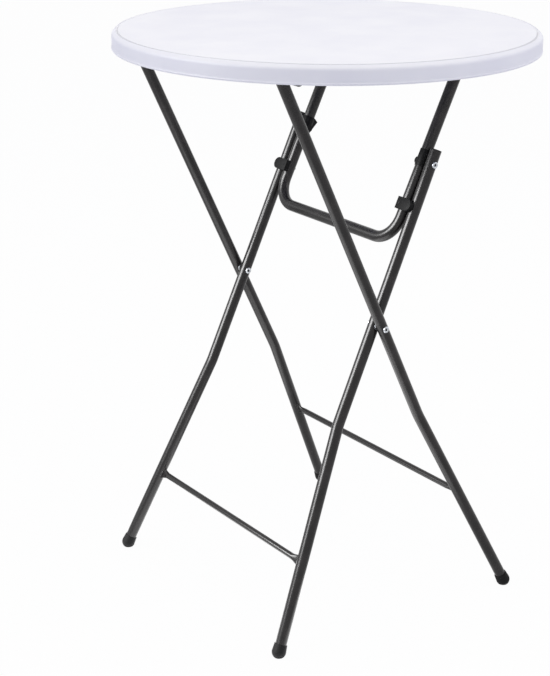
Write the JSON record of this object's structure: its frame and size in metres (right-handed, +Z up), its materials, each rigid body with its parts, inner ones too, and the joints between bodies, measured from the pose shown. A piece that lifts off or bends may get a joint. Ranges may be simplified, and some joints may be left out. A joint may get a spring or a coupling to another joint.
{
  "type": "folding high table",
  "caption": "Round white folding high table: moulded top on a black scissor frame of bent steel tube, with a lock bar and plastic lock clips.",
  "frame": {"origin": "on the floor, under the centre of the round top", "axes": "+Z up, +Y along the hinges towards the left side, +X towards the feet of the outer frame"},
  "size_m": [0.8, 0.8, 1.1],
  "materials": {
    "white_plastic": "blow-moulded polyethylene, fine grain",
    "powder_coat": "dark grey powder coat on steel tube",
    "black_plastic": "moulded black plastic, satin",
    "rubber": "black rubber caps",
    "zinc_steel": "bright zinc plating"
  },
  "bodies": {
    "tabletop": {"tabletop": "white_plastic", "outer_hinge_block_left": "black_plastic", "outer_hinge_block_right": "black_plastic", "lock_hinge_block_left": "black_plastic", "lock_hinge_block_right": "black_plastic", "hinge_block_screws": "zinc_steel", "storage_clip_left": "black_plastic", "storage_clip_right": "black_plastic", "storage_clip_screws": "zinc_steel"},
    "outer_frame": {"outer_hinge_tube": "powder_coat", "outer_hinge_plugs": "black_plastic", "outer_leg_left": "powder_coat", "outer_leg_right": "powder_coat", "outer_leg_plugs": "black_plastic", "outer_crossbar": "powder_coat", "outer_foot_left": "rubber", "outer_foot_right": "rubber", "outer_scissor_rivets": "zinc_steel"},
    "lock_bar": {"lock_bar": "powder_coat", "lock_hinge_tube": "powder_coat", "lock_hinge_plugs": "black_plastic", "lock_clip_left": "black_plastic", "lock_clip_right": "black_plastic", "lock_clip_screws": "zinc_steel", "lock_rivet_left": "zinc_steel", "lock_rivet_right": "zinc_steel", "pivot_block_left": "black_plastic", "pivot_block_right": "black_plastic"},
    "middle_frame": {"middle_leg_left": "powder_coat", "middle_leg_right": "powder_coat", "middle_leg_plugs": "black_plastic", "middle_crossbar": "powder_coat", "middle_foot_left": "rubber", "middle_foot_right": "rubber", "inner_scissor_rivets": "zinc_steel"}
  },
  "joints": [
    {"name": "outer_fold", "type": "hinge", "parent": "tabletop", "child": "outer_frame", "pos_m": [-0.25076, 0, 1.067], "axis": [0, -1, 0], "range_deg": [0, 62.95]},
    {"name": "lock_fold", "type": "hinge", "parent": "tabletop", "child": "lock_bar", "pos_m": [0.18514, 0, 1.067], "axis": [0, 1, 0], "range_deg": [0, 62.01]},
    {"name": "middle_fold", "type": "hinge", "parent": "lock_bar", "child": "middle_frame", "pos_m": [0.08977, 0, 0.868], "axis": [0, -1, 0], "range_deg": [0, 172.09]}
  ],
  "couplings": [
    {"joint": "lock_fold", "follows": "outer_fold", "ratio": 0.98484},
    {"joint": "middle_fold", "follows": "outer_fold", "ratio": 2.7336}
  ]
}
